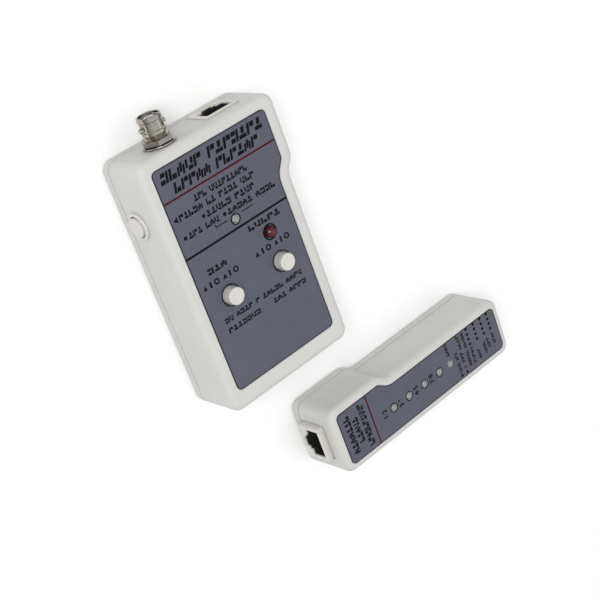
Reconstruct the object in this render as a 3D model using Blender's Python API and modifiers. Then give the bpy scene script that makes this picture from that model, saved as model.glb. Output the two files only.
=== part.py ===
"""Network cable tester: a hand-held main unit and its loose remote terminator.

Both units lie on their backs, labels up. The origin is on the main unit's back face, under
the middle of its label. +X is to the right across the label, +Y runs to the connectors and
+Z is up.
All sizes below are millimetres and are turned into metres where a mesh is made.
"""
from math import atan2, cos, pi, radians, sin, tan

import bmesh
import bpy
from mathutils import Matrix, Vector

MM = 0.001
GAP = 0.3              # clearance between pieces that touch on the real object

# ---- casings: both units share one section ----
DEPTH = 26.0           # back face to front face
SEAM = 5.0             # height of the joint between the back and front shells
WALL = 2.0             # side wall of a front shell
FRONT_WALL = 2.0       # face of a front shell, under the label
FLOOR = 3.0            # floor of a back shell
LIP_WALL = 1.2         # lip of a back shell that stands inside the front shell
LIP_TOP = 7.0
FRONT_EDGE = 2.6       # rounding of the front edges
BACK_EDGE = 1.6        # rounding of the back edges
LABEL_DEPTH = 0.6      # recess for the label
LABEL_THICK = 0.25
LABEL_GAP = 0.2        # label edge to the side of its recess

# A case is narrow at its lower end and steps out to its head on the right-hand side. So is
# its label. Corners have one plan radius, and the hollow corner of the step has its own.
MAIN_CASE = dict(left=-32.6, head=33.6, waist=29.6, bottom=-54.8, top=51.5,
                 step_low=18.7, step_high=24.4, corner=4.5, bend=5.0)
MAIN_LABEL = dict(left=-27.7, head=27.7, waist=23.7, bottom=-46.7, top=46.7,
                  step_low=20.1, step_high=25.8, corner=2.2, bend=9.3)
REMOTE_CASE = dict(left=-15.4, head=15.4, waist=11.7, bottom=-51.5, top=51.5,
                   step_low=16.8, step_high=22.3, corner=4.5, bend=5.0)
REMOTE_LABEL = dict(left=-12.0, head=12.0, waist=8.3, bottom=-48.1, top=48.1,
                    step_low=17.8, step_high=23.3, corner=2.2, bend=8.4)
SMALLEST_CORNER = 0.8
REMOTE_PLACE = (57.0, -94.5)   # middle of the remote's back, in the main unit's frame

# ---- circuit boards and what stands on them ----
BOARD_LOW = 4.0
BOARD_TOP = 5.6
PARTS_BASE = BOARD_TOP + GAP
BOARD_MARGIN = 4.2     # case edge to board edge

# ---- modular jacks ----
JACK_WIDTH = 16.0
JACK_TOP = 18.9
JACK_LENGTH = 16.8
PLUG_WIDTH = 11.8
PLUG_TOP = 17.4
PLUG_LOW = 10.6
PLUG_DEPTH = 13.0
LATCH_STEPS = ((6.6, 9.2, 10.7), (4.0, 7.8, 9.3))   # width, bottom and top of each step
CONTACT_PITCH = 1.02
MAIN_JACK = (14.6, 52.2)      # middle and front face
REMOTE_JACK = (0.0, 54.4)

# ---- BNC socket, on the +Y end wall ----
BNC_X = -14.4
BNC_Z = 16.5
BNC_THREAD = 4.7
BNC_REACH = 12.0       # how far the barrel stands out of the end wall
BNC_LUG_AT = 7.7       # the two bayonet lugs, from the end wall
BNC_LUG_RADIUS = 1.0
BNC_LUG_REACH = 5.75

# ---- switches, buttons and lamps of the main unit ----
POWER_AT = (11.5, -10.6)
GROUND_AT = (-15.1, -10.7)
TEST_Y = 26.7
TEST_Z = 12.0
CAP_RADIUS = 3.5
CAP_TOP = 30.0
TEST_CAP_RADIUS = 4.0
CAP_FLANGE = (19.4, 21.2)     # heights of the flange that keeps a cap in
STEM_RADIUS = 1.75
STEM_LOW = 14.5
STEM_WELL = 2.1               # radius of the well in a switch
SWITCH_HALF = 4.25
SWITCH_TOP = 15.9
LAMP_BASE = 19.6
SMALL_LAMP = dict(radius=1.5, shoulder=25.2, tip=26.4)
POWER_LAMP = dict(radius=2.5, shoulder=26.0, tip=28.4)
LAMP_CLEARANCE = 0.3          # hole in the shell round a lamp
LABEL_CLEARANCE = 0.1         # more than that in the label
POWER_LAMP_AT = (11.0, 2.5)
BNC_LAMP_AT = (-1.2, 14.55)

# ---- lamps of the remote: four numbered pairs and one for the shield ----
REMOTE_LAMP_X = -1.86
REMOTE_LAMPS_Y = (19.2, 9.75, 0.1, -9.4, -16.4)

# ---- battery, crosswise in the lower end ----
BATTERY = (-27.9, 18.1, -47.2, -21.0, 3.3, 20.5)
COVER_MIDDLE = -2.9
COVER_HALF = 23.0
COVER_TOP_END = -21.5
COVER_THICK = 1.7

# ---- screws: (x, y) of each post ----
POST_RADIUS = 2.75
POST_TOP = 7.0
BOSS_LOW = 7.3
SCREW_HOLE = 1.5
SCREW_SHANK = 1.2
SCREW_HEAD = 2.6
HEAD_ROOM = 2.9        # radius and depth of the sunk hole for a head
HEAD_SINK = 1.5
MAIN_SCREWS = ((-27.1, 45.0), (28.1, 45.0), (-27.1, -15.0), (24.2, -15.0))
REMOTE_SCREWS = ((0.0, 30.5), (-1.85, -45.0))


# ------------------------------------------------------------------ scene
for old in list(bpy.data.objects):
    bpy.data.objects.remove(old, do_unlink=True)

scene_root = bpy.context.scene.collection
parts_collection = bpy.data.collections.new("network_cable_tester")
cutters_collection = bpy.data.collections.new("cutters")
scene_root.children.link(parts_collection)
scene_root.children.link(cutters_collection)


def frame_empty(name, place, turn):
    """An empty that carries one unit of the tester."""
    empty = bpy.data.objects.new(name, None)
    empty.location = (place[0] * MM, place[1] * MM, 0.0)
    empty.rotation_euler = (0.0, 0.0, radians(turn))
    parts_collection.objects.link(empty)
    return empty


MAIN = frame_empty("main_unit_frame", (0.0, 0.0), 0.0)
REMOTE = frame_empty("remote_frame", REMOTE_PLACE, 90.0)


# ------------------------------------------------------------------ materials
PALETTE = {
    "casing": ((0.60, 0.60, 0.57), 0.55, 0.0),
    "cap": ((0.72, 0.71, 0.66), 0.42, 0.0),
    "overlay": ((0.105, 0.110, 0.145), 0.45, 0.0),
    "nickel": ((0.62, 0.60, 0.56), 0.25, 1.0),
    "gold": ((0.83, 0.60, 0.25), 0.25, 1.0),
    "ptfe": ((0.80, 0.80, 0.78), 0.50, 0.0),
    "jack": ((0.66, 0.64, 0.57), 0.45, 0.0),
    "black_plastic": ((0.02, 0.02, 0.02), 0.50, 0.0),
    "red_lens": ((0.55, 0.01, 0.01), 0.15, 0.0),
    "clear_lens": ((0.80, 0.82, 0.80), 0.12, 0.0),
    "board": ((0.05, 0.22, 0.09), 0.45, 0.0),
    "steel": ((0.45, 0.45, 0.46), 0.35, 1.0),
    "battery": ((0.08, 0.08, 0.09), 0.30, 0.0),
    "red_wire": ((0.50, 0.02, 0.02), 0.45, 0.0),
}


def material(name):
    """The named material, made once."""
    known = bpy.data.materials.get(name)
    if known:
        return known
    colour, roughness, metallic = PALETTE[name]
    made = bpy.data.materials.new(name)
    made.use_nodes = True
    shader = made.node_tree.nodes["Principled BSDF"]
    shader.inputs["Base Color"].default_value = (*colour, 1.0)
    shader.inputs["Roughness"].default_value = roughness
    shader.inputs["Metallic"].default_value = metallic
    made.diffuse_color = (*colour, 1.0)
    return made


# ------------------------------------------------------------------ modelling helpers
def add_object(name, mesh, unit, paint):
    """Put a mesh in the scene as a part, or as a cutter when it has no paint."""
    obj = bpy.data.objects.new(name, mesh)
    obj.parent = unit
    if paint:
        mesh.materials.append(material(paint))
        parts_collection.objects.link(obj)
    else:
        obj.hide_render = True
        obj.display_type = "WIRE"
        cutters_collection.objects.link(obj)
    return obj


def rounded(corners, steps=4):
    """Outline points of a polygon whose corners (x, y, radius) become arcs."""
    points = []
    for index, (x, y, radius) in enumerate(corners):
        here = Vector((x, y))
        before = (Vector(corners[index - 1][:2]) - here).normalized()
        after = (Vector(corners[(index + 1) % len(corners)][:2]) - here).normalized()
        half = before.angle(after) / 2
        centre = here + (before + after).normalized() * (radius / sin(half))
        start = here + before * (radius / tan(half)) - centre
        end = here + after * (radius / tan(half)) - centre
        first = atan2(start.y, start.x)
        sweep = (atan2(end.y, end.x) - first + pi) % (2 * pi) - pi
        for step in range(steps + 1):
            angle = first + sweep * step / steps
            points.append((centre.x + radius * cos(angle), centre.y + radius * sin(angle)))
    return points


def case_outline(case, inset, steps=4):
    """The outline of a case, moved inwards by inset; the step on its right keeps its slope."""
    lean = atan2(case["head"] - case["waist"], case["step_high"] - case["step_low"])
    lift = inset * tan(lean / 2)
    outer = max(case["corner"] - inset, SMALLEST_CORNER)
    left = case["left"] + inset
    waist = case["waist"] - inset
    head = case["head"] - inset
    bottom = case["bottom"] + inset
    top = case["top"] - inset
    return rounded([
        (left, bottom, outer), (waist, bottom, outer),
        (waist, case["step_low"] + lift, case["bend"] + inset),
        (head, case["step_high"] + lift, outer),
        (head, top, outer), (left, top, outer)], steps)


def slab(name, outline, low, high, unit, paint=None):
    """A flat outline given a thickness, from height low to height high."""
    curve = bpy.data.curves.new(name, "CURVE")
    curve.dimensions = "2D"
    curve.fill_mode = "BOTH"
    curve.extrude = (high - low) / 2 * MM
    spline = curve.splines.new("POLY")
    spline.points.add(len(outline) - 1)
    for point, (x, y) in zip(spline.points, outline):
        point.co = (x * MM, y * MM, 0.0, 1.0)
    spline.use_cyclic_u = True
    drawn = bpy.data.objects.new(name + "_outline", curve)
    scene_root.objects.link(drawn)
    drawn.location.z = (low + high) / 2 * MM
    mesh = as_mesh(drawn, name)
    body = bmesh.new()
    body.from_mesh(mesh)
    bmesh.ops.dissolve_limit(body, angle_limit=radians(1), verts=body.verts, edges=body.edges)
    body.to_mesh(mesh)
    body.free()
    return add_object(name, mesh, unit, paint)


def as_mesh(drawn, name):
    """The welded mesh of a curve object, which is then removed."""
    bpy.context.view_layer.update()
    graph = bpy.context.evaluated_depsgraph_get()
    mesh = bpy.data.meshes.new_from_object(drawn.evaluated_get(graph))
    mesh.name = name
    mesh.materials.clear()
    mesh.transform(drawn.matrix_world)
    body = bmesh.new()
    body.from_mesh(mesh)
    bmesh.ops.remove_doubles(body, verts=body.verts, dist=1e-6)
    bmesh.ops.recalc_face_normals(body, faces=body.faces)
    body.to_mesh(mesh)
    body.free()
    bpy.data.objects.remove(drawn, do_unlink=True)
    return mesh


def block_mesh(name, blocks):
    """A mesh of boxes (x0, x1, y0, y1, z0, z1) that stay clear of each other."""
    body = bmesh.new()
    for x0, x1, y0, y1, z0, z1 in blocks:
        place = Matrix.Translation(((x0 + x1) / 2 * MM, (y0 + y1) / 2 * MM, (z0 + z1) / 2 * MM))
        size = Matrix.Diagonal(((x1 - x0) * MM, (y1 - y0) * MM, (z1 - z0) * MM, 1.0))
        bmesh.ops.create_cube(body, size=1.0, matrix=place @ size)
    mesh = bpy.data.meshes.new(name)
    body.to_mesh(mesh)
    body.free()
    return mesh


def box(name, limits, unit, paint=None):
    """A box (x0, x1, y0, y1, z0, z1)."""
    return add_object(name, block_mesh(name, [limits]), unit, paint)


AXIS_TURN = {"Z": (0.0, 0.0, 0.0), "Y": (-pi / 2, 0.0, 0.0), "X": (0.0, pi / 2, 0.0),
             "-X": (0.0, -pi / 2, 0.0)}


def cylinder(name, centre, radius, low, high, unit, axis="Z", sides=20, paint=None):
    """A cylinder from low to high along its axis, measured from centre."""
    body = bmesh.new()
    middle = Matrix.Translation((0.0, 0.0, (low + high) / 2 * MM))
    bmesh.ops.create_cone(body, cap_ends=True, segments=sides, radius1=radius * MM,
                          radius2=radius * MM, depth=(high - low) * MM, matrix=middle)
    mesh = bpy.data.meshes.new(name)
    body.to_mesh(mesh)
    body.free()
    obj = add_object(name, mesh, unit, paint)
    obj.location = [value * MM for value in centre]
    obj.rotation_euler = AXIS_TURN[axis]
    return obj


def turned(name, profile, centre, unit, paint, axis="Z", sides=20, closed=False):
    """A turned piece. Its profile (radius, height) runs down the outer side."""
    mesh = bpy.data.meshes.new(name)
    points = [(radius * MM, 0.0, height * MM) for radius, height in profile]
    edges = [(index, index + 1) for index in range(len(points) - 1)]
    if closed:
        edges.append((len(points) - 1, 0))
    mesh.from_pydata(points, edges, [])
    obj = add_object(name, mesh, unit, paint)
    obj.location = [value * MM for value in centre]
    obj.rotation_euler = AXIS_TURN[axis]
    screw = obj.modifiers.new("turn", "SCREW")
    screw.steps = sides
    screw.render_steps = sides
    screw.use_merge_vertices = True
    screw.merge_threshold = 0.00001
    return obj


def combine(obj, other, operation):
    """Cut a helper out of a part, or join it to the part."""
    change = obj.modifiers.new(operation.lower() + "_" + other.name, "BOOLEAN")
    change.operation = operation
    change.object = other


def cut(obj, *others):
    for other in others:
        combine(obj, other, "DIFFERENCE")


def join(obj, *others):
    for other in others:
        combine(obj, other, "UNION")


def round_rim(obj, height, width, segments):
    """Round the rim edges that lie at one height."""
    mesh = obj.data
    weights = mesh.attributes.new("bevel_weight_edge", "FLOAT", "EDGE")
    for edge in mesh.edges:
        ends = [mesh.vertices[index].co.z for index in edge.vertices]
        if all(abs(z - height * MM) < 1e-6 for z in ends):
            weights.data[edge.index].value = 1.0
    bevel = obj.modifiers.new("rim", "BEVEL")
    bevel.limit_method = "WEIGHT"
    bevel.width = width * MM
    bevel.segments = segments


def soften(obj, width, segments=1):
    """Bevel every sharp edge of a simple piece."""
    bevel = obj.modifiers.new("edges", "BEVEL")
    bevel.limit_method = "ANGLE"
    bevel.width = width * MM
    bevel.segments = segments


def smooth_path(route, per_span=2):
    """Points of a smooth curve through the route's own points."""
    ends = [2 * Vector(route[0]) - Vector(route[1])]
    ends += [Vector(point) for point in route]
    ends += [2 * Vector(route[-1]) - Vector(route[-2])]
    points = []
    for index in range(1, len(ends) - 2):
        a, b, c, d = ends[index - 1:index + 3]
        for step in range(per_span):
            t = step / per_span
            points.append(0.5 * (2 * b + (c - a) * t + (2 * a - 5 * b + 4 * c - d) * t * t
                                 + (3 * b - 3 * c + d - a) * t ** 3))
    points.append(ends[-2])
    return points


def wire(name, route, radius, unit, paint):
    """An insulated wire along a route."""
    curve = bpy.data.curves.new(name, "CURVE")
    curve.dimensions = "3D"
    curve.bevel_depth = radius * MM
    curve.bevel_resolution = 2
    curve.use_fill_caps = True
    points = smooth_path(route)
    spline = curve.splines.new("POLY")
    spline.points.add(len(points) - 1)
    for point, place in zip(spline.points, points):
        point.co = (*(place * MM), 1.0)
    drawn = bpy.data.objects.new(name + "_route", curve)
    scene_root.objects.link(drawn)
    return add_object(name, as_mesh(drawn, name), unit, paint)


# ------------------------------------------------------------------ casings
def front_shell(prefix, case, panel, screws, unit):
    """The deep front shell: rounded face, label recess, bosses for the screws."""
    shell = slab(prefix + "_front_shell", case_outline(case, 0.0), SEAM + GAP / 2, DEPTH,
                 unit, "casing")
    round_rim(shell, DEPTH, FRONT_EDGE, 3)
    cut(shell, slab(prefix + "_front_room", case_outline(case, WALL), SEAM - 1.0,
                    DEPTH - FRONT_WALL, unit))
    cut(shell, slab(prefix + "_label_recess", case_outline(panel, -LABEL_GAP),
                    DEPTH - LABEL_DEPTH, DEPTH + 1.0, unit))
    for number, (x, y) in enumerate(screws, 1):
        tag = f"{prefix}_boss_{number}"
        join(shell, cylinder(tag, (x, y, 0.0), POST_RADIUS, BOSS_LOW,
                             DEPTH - FRONT_WALL + 0.5, unit, sides=16))
        cut(shell, cylinder(tag + "_pilot", (x, y, 0.0), SCREW_HOLE, BOSS_LOW - 1.0, 16.0,
                            unit, sides=12))
    return shell


def back_shell(prefix, case, screws, rests, unit):
    """The shallow back shell: floor, lip, screw posts and rests for the board."""
    shell = slab(prefix + "_back_shell", case_outline(case, 0.0), 0.0, SEAM - GAP / 2,
                 unit, "casing")
    round_rim(shell, 0.0, BACK_EDGE, 2)
    join(shell, slab(prefix + "_lip", case_outline(case, WALL + GAP), FLOOR, LIP_TOP, unit))
    cut(shell, slab(prefix + "_back_room", case_outline(case, WALL + GAP + LIP_WALL), FLOOR,
                    LIP_TOP + 1.0, unit))
    for number, (x, y) in enumerate(rests, 1):
        join(shell, cylinder(f"{prefix}_rest_{number}", (x, y, 0.0), 1.8, FLOOR - 0.5,
                             BOARD_LOW - GAP, unit, sides=12))
    for number, (x, y) in enumerate(screws, 1):
        tag = f"{prefix}_post_{number}"
        join(shell, cylinder(tag, (x, y, 0.0), POST_RADIUS, FLOOR - 0.5, POST_TOP, unit,
                             sides=16))
        cut(shell, cylinder(tag + "_hole", (x, y, 0.0), SCREW_HOLE, -1.0, POST_TOP + 1.0,
                            unit, sides=12))
        cut(shell, cylinder(tag + "_head_room", (x, y, 0.0), HEAD_ROOM, -1.0, HEAD_SINK, unit,
                            sides=16))
    return shell


def board(name, case, screws, ends, unit):
    """A circuit board that fits inside the lip, between two ends, notched round the posts."""
    made = slab(name, case_outline(case, BOARD_MARGIN, 2), BOARD_LOW, BOARD_TOP, unit, "board")
    low, high = ends
    cut(made, box(name + "_low_trim", (-40.0, 40.0, -60.0, low, 3.0, 7.0), unit))
    cut(made, box(name + "_high_trim", (-40.0, 40.0, high, 60.0, 3.0, 7.0), unit))
    for number, (x, y) in enumerate(screws, 1):
        if low - POST_RADIUS < y < high + POST_RADIUS:
            cut(made, cylinder(f"{name}_notch_{number}", (x, y, 0.0), POST_RADIUS + GAP,
                               3.0, 7.0, unit, sides=16))
    return made


def label(name, panel, holes, unit):
    """The printed overlay, with a hole (x, y, radius) for each button and lamp."""
    high = DEPTH - LABEL_DEPTH + GAP + LABEL_THICK
    sheet = slab(name, case_outline(panel, 0.0), high - LABEL_THICK, high, unit, "overlay")
    for number, (x, y, radius) in enumerate(holes, 1):
        cut(sheet, cylinder(f"{name}_hole_{number}", (x, y, 0.0), radius, high - 2.0,
                            high + 2.0, unit, sides=16))
    return sheet


def screw(name, x, y, unit):
    """A self-tapping screw driven in from the back, its cross slot facing down."""
    tip, seat, crown = 13.5, HEAD_SINK - GAP, 0.1
    made = turned(name, [(0.0, tip), (0.6, tip), (SCREW_SHANK, tip - 1.3), (SCREW_SHANK, seat),
                         (SCREW_HEAD, seat), (SCREW_HEAD, crown + 0.4),
                         (SCREW_HEAD - 0.4, crown), (0.0, crown)], (x, y, 0.0), unit, "steel",
                  sides=16)
    for number, (half_x, half_y) in enumerate(((1.5, 0.28), (0.28, 1.5)), 1):
        cut(made, box(f"{name}_slot_{number}", (x - half_x, x + half_x, y - half_y,
                                                y + half_y, -1.0, 0.7), unit))
    return made


# ------------------------------------------------------------------ electrical parts
def jack_housing(prefix, place, unit):
    """A modular jack: a block with a stepped plug opening, the latch notch to the back."""
    x, front = place
    low = PARTS_BASE
    housing = box(prefix + "_rj45_housing", (x - JACK_WIDTH / 2, x + JACK_WIDTH / 2,
                                             front - JACK_LENGTH, front, low, JACK_TOP),
                  unit, "jack")
    steps = ((PLUG_WIDTH, PLUG_LOW, PLUG_TOP), *LATCH_STEPS)
    for number, (width, bottom, top) in enumerate(steps, 1):
        cut(housing, box(f"{prefix}_plug_step_{number}",
                         (x - width / 2, x + width / 2, front - PLUG_DEPTH, front + 1.0,
                          bottom, top), unit))
    return housing


def jack_contacts(prefix, place, unit):
    """The insert of a jack: a carrier at the back and eight sprung wires under the roof."""
    x, front = place
    rear = front - PLUG_DEPTH + GAP
    roof = PLUG_TOP - GAP
    carrier = box(prefix + "_rj45_contacts", (x - 5.4, x + 5.4, rear, rear + 1.2, 15.0, roof),
                  unit, "gold")
    for number in range(8):
        middle = x + (number - 3.5) * CONTACT_PITCH
        spring = box(f"{prefix}_contact_{number + 1}",
                     (-0.22, 0.22, -4.6, 4.6, -0.22, 0.22), unit)
        spring.location = (middle * MM, (rear + 5.4) * MM, 16.1 * MM)
        spring.rotation_euler.x = radians(5.0)
        join(carrier, spring)
    return carrier


def lamp(name, place, size, unit, paint):
    """A lamp: domed lens with a flange, on two legs that reach the board."""
    x, y = place
    radius, shoulder, tip = size["radius"], size["shoulder"], size["tip"]
    base = LAMP_BASE
    dome = [(radius * sin(step * pi / 6), shoulder + (tip - shoulder) * cos(step * pi / 6))
            for step in range(4)]
    flange = radius + 0.4
    profile = dome + [(radius, base + 0.8), (flange, base + 0.8), (flange, base), (0.0, base)]
    lens = turned(name, profile, (x, y, 0.0), unit, paint, sides=12)
    leg = 0.25
    half_pitch = min(1.27, radius - 0.6)
    legs = [(x + side * half_pitch - leg, x + side * half_pitch + leg, y - leg, y + leg,
             PARTS_BASE, base + 0.3) for side in (-1, 1)]
    join(lens, add_object(name + "_legs", block_mesh(name + "_legs", legs), unit, None))
    return lens


def push_switch(name, place, unit):
    """A latching push switch with a round well for the button's stem."""
    x, y = place
    body = box(name, (x - SWITCH_HALF, x + SWITCH_HALF, y - SWITCH_HALF, y + SWITCH_HALF,
                      PARTS_BASE, SWITCH_TOP), unit, "black_plastic")
    soften(body, 0.4)
    cut(body, cylinder(name + "_well", (x, y, 0.0), STEM_WELL, 9.0, SWITCH_TOP + 1.0, unit,
                       sides=16))
    return body


def button(name, place, unit):
    """A round cap with a slight dish, a keeping flange and a stem."""
    x, y = place
    top = CAP_TOP
    flange_low, flange_high = CAP_FLANGE
    flange = CAP_RADIUS + 1.0
    profile = [(0.0, top - 0.25), (2.2, top), (3.0, top), (CAP_RADIUS, top - 0.5),
               (CAP_RADIUS, flange_high), (flange, flange_high), (flange, flange_low),
               (STEM_RADIUS, flange_low), (STEM_RADIUS, STEM_LOW), (0.0, STEM_LOW)]
    return turned(name, profile, (x, y, 0.0), unit, "cap", sides=20)


def chip(name, place, pins, unit, along="X"):
    """A dual in-line chip with pins on its two long sides."""
    x, y = place
    length, width = pins * 1.27 - 0.4, 6.4
    half_l, half_w = length / 2, width / 2
    low = PARTS_BASE + 1.0
    legs = []
    for number in range(pins // 2):
        step = (number - (pins / 2 - 1) / 2) * 2.54
        for side in (-1, 1):
            near = side * (half_w - 0.3)
            far = side * (half_w + 0.55)
            legs.append((step - 0.3, step + 0.3, min(near, far), max(near, far), PARTS_BASE,
                         low + 1.6))
    limits = (-half_l, half_l, -half_w, half_w, low, low + 3.3)
    if along == "Y":
        legs = [(y0, y1, x0, x1, z0, z1) for x0, x1, y0, y1, z0, z1 in legs]
        limits = (-half_w, half_w, -half_l, half_l, low, low + 3.3)
    body = box(name, limits, unit, "black_plastic")
    pins_part = add_object(name + "_pins", block_mesh(name + "_pins", legs), unit, None)
    for piece in (body, pins_part):
        piece.location = (x * MM, y * MM, 0.0)
    join(body, pins_part)
    return body


# ------------------------------------------------------------------ main unit
def make_main_shells():
    case = MAIN_CASE
    front = front_shell("main", case, MAIN_LABEL, MAIN_SCREWS, MAIN)
    for name, (x, y), radius in (("power_lamp_hole", POWER_LAMP_AT,
                                  POWER_LAMP["radius"] + LAMP_CLEARANCE),
                                 ("bnc_lamp_hole", BNC_LAMP_AT,
                                  SMALL_LAMP["radius"] + LAMP_CLEARANCE),
                                 ("power_button_hole", POWER_AT, CAP_RADIUS + 0.4),
                                 ("ground_button_hole", GROUND_AT, CAP_RADIUS + 0.4)):
        cut(front, cylinder(name, (x, y, 0.0), radius, 20.5, 28.0, MAIN, sides=24))
    wall = case["top"]
    cut(front, cylinder("bnc_hole", (BNC_X, wall, BNC_Z), BNC_THREAD + GAP, -4.0, 1.0, MAIN,
                        "Y", 24))
    cut(front, cylinder("test_button_hole", (case["left"], TEST_Y, TEST_Z), 5.1, -4.0, 1.0,
                        MAIN, "-X", 24))
    x, _ = MAIN_JACK
    reach = JACK_WIDTH / 2 + GAP
    cut(front, box("main_jack_hole", (x - reach, x + reach, wall - 4.0, wall + 1.0, 3.0,
                                      JACK_TOP + GAP), MAIN))

    back = back_shell("main", case, MAIN_SCREWS, ((0.0, 33.0), (-4.0, -6.0)), MAIN)
    cut(back, box("main_jack_notch", (x - reach, x + reach, wall - 8.0, wall + 1.0,
                                      SEAM - GAP / 2, 9.0), MAIN))
    left, right = COVER_MIDDLE - COVER_HALF, COVER_MIDDLE + COVER_HALF
    end = case["bottom"] - 1.0
    ceiling = COVER_THICK + GAP
    cut(back, box("cover_pocket", (left - GAP, right + GAP, end, COVER_TOP_END + GAP, -1.0,
                                   ceiling), MAIN))
    cut(back, box("cover_grooves", (left - 1.5, right + 1.5, end, -43.7, 0.4, ceiling), MAIN))
    cut(back, box("cover_tongue_slot", (COVER_MIDDLE - 8.4, COVER_MIDDLE + 8.4, -22.0, -19.4,
                                        0.7, ceiling), MAIN))
    cut(back, box("battery_hatch", (left + 1.5, right - 1.5, -46.6, -23.0, 1.0, FLOOR + 1.0),
                  MAIN))


def make_battery_parts():
    left, right = COVER_MIDDLE - COVER_HALF, COVER_MIDDLE + COVER_HALF
    cover = box("battery_cover", (left, right, MAIN_CASE["bottom"], COVER_TOP_END, 0.0,
                                  COVER_THICK), MAIN, "casing")
    join(cover, box("cover_tabs", (left - 1.2, right + 1.2, -50.0, -44.0, 0.7, COVER_THICK),
                    MAIN))
    join(cover, box("cover_tongue", (COVER_MIDDLE - 8.0, COVER_MIDDLE + 8.0, -22.0, -19.7,
                                     1.0, COVER_THICK), MAIN))
    grips = [(COVER_MIDDLE - 6.0, COVER_MIDDLE + 6.0, y, y + 0.9, -1.0, 0.5)
             for y in (-47.6, -45.4, -43.2)]
    cut(cover, add_object("cover_grips", block_mesh("cover_grips", grips), MAIN, None))

    x0, x1, y0, y1, z0, z1 = BATTERY
    battery = box("battery_9v", BATTERY, MAIN, "battery")
    soften(battery, 1.2, 2)
    middle_z = (z0 + z1) / 2
    for number, y in enumerate((y0 + 6.7, y1 - 6.7), 1):
        # The axis runs along -X, so a terminal on the +X face has negative heights.
        join(battery, cylinder(f"terminal_{number}", (x1, y, middle_z), 3.2, -2.4, 0.6, MAIN,
                               "-X", 12))
    snap = box("battery_snap", (x1 + GAP, x1 + 3.5, y0 + 0.6, y1 - 0.6, middle_z - 6.2,
                                middle_z + 6.2), MAIN, "black_plastic")
    for number, y in enumerate((y0 + 6.7, y1 - 6.7), 1):
        cut(snap, cylinder(f"snap_socket_{number}", (x1, y, middle_z), 3.5, -2.7, 1.0, MAIN,
                           "-X", 12))

    wire("battery_wire_red", [(22.0, -28.0, 14.5), (23.3, -26.2, 14.6), (23.0, -22.5, 14.3),
                              (21.3, -19.5, 13.6), (18.2, -18.9, 12.2), (16.5, -17.2, 9.4),
                              (16.2, -15.8, 6.6)], 0.65, MAIN, "red_wire")
    wire("battery_wire_black", [(22.0, -32.0, 9.0), (23.3, -29.6, 9.0), (23.2, -23.5, 9.0),
                                (21.3, -19.5, 8.8), (19.0, -18.6, 8.2), (18.2, -17.0, 7.5),
                                (18.0, -15.8, 6.6)], 0.65, MAIN, "black_plastic")


def make_bnc_socket():
    wall = MAIN_CASE["top"]
    centre = (BNC_X, wall, BNC_Z)
    tip = BNC_REACH
    shell = turned("bnc_shell", [
        (4.6, tip), (4.8, tip - 0.3), (4.8, 4.9), (BNC_THREAD, 4.5), (BNC_THREAD, -2.3),
        (6.4, -2.3), (6.4, -4.4), (4.2, -4.4), (4.2, -7.5), (2.6, -7.5), (2.6, 3.0),
        (4.05, 3.0), (4.05, tip)], centre, MAIN, "nickel", "Y", 28, closed=True)
    for side, axis in (("left", "-X"), ("right", "X")):
        join(shell, cylinder(f"bnc_{side}_lug", (BNC_X, wall + BNC_LUG_AT, BNC_Z),
                             BNC_LUG_RADIUS, 4.3, BNC_LUG_REACH, MAIN, axis, 12))
    turned("bnc_insulator", [(2.3, tip - 0.9), (2.3, -7.2), (1.15, -7.2), (1.15, tip - 0.9)],
           centre, MAIN, "ptfe", "Y", 16, closed=True)
    turned("bnc_centre_contact", [(0.0, 6.0), (0.45, 6.0), (0.45, tip - 1.1),
                                  (0.85, tip - 1.1), (0.85, -10.0), (0.0, -10.0)],
           centre, MAIN, "gold", "Y", 12)
    turned("bnc_washer", [(6.7, 1.0), (6.7, GAP), (5.0, GAP), (5.0, 1.0)], centre, MAIN,
           "nickel", "Y", 24, closed=True)
    nut = cylinder("bnc_nut", centre, 6.6, 1.3, 3.3, MAIN, "Y", 6, "nickel")
    cut(nut, cylinder("bnc_nut_bore", centre, BNC_THREAD + GAP, 0.5, 4.5, MAIN, "Y", 24))
    pin_end = wall - 10.4
    wire("bnc_signal_wire", [(BNC_X, pin_end, BNC_Z), (BNC_X, pin_end - 1.6, BNC_Z - 0.2),
                             (BNC_X, pin_end - 3.3, BNC_Z - 2.0),
                             (BNC_X, pin_end - 4.0, 10.5), (BNC_X, pin_end - 4.1, 6.5)],
         0.6, MAIN, "ptfe")


def make_main_controls():
    push_switch("power_switch", POWER_AT, MAIN)
    button("power_button", POWER_AT, MAIN)
    push_switch("ground_switch", GROUND_AT, MAIN)
    button("ground_button", GROUND_AT, MAIN)

    side = MAIN_CASE["left"]
    centre = (side, TEST_Y, TEST_Z)
    turned("bnc_test_bezel", [(5.4, 1.0), (5.7, 0.8), (5.7, GAP), (4.8, GAP), (4.8, -2.3),
                              (4.4, -2.3), (4.4, 1.0)], centre, MAIN, "cap", "-X", 20,
           closed=True)
    radius = TEST_CAP_RADIUS
    turned("bnc_test_button", [(0.0, 2.0), (3.4, 2.0), (radius, 1.4), (radius, -3.0),
                               (4.7, -3.0), (4.7, -4.0), (1.7, -4.0), (1.7, -9.4),
                               (0.0, -9.4)], centre, MAIN, "cap", "-X", 20)
    switch = box("bnc_test_switch", (side + 7.7, side + 17.0, TEST_Y - 4.0, TEST_Y + 4.0,
                                     PARTS_BASE, TEST_Z + 4.2), MAIN, "black_plastic")
    soften(switch, 0.4)
    cut(switch, cylinder("bnc_test_well", centre, 2.1, -13.5, -6.0, MAIN, "-X", 16))

    lamp("power_lamp", POWER_LAMP_AT, POWER_LAMP, MAIN, "red_lens")
    lamp("bnc_lamp", BNC_LAMP_AT, SMALL_LAMP, MAIN, "clear_lens")


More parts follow.
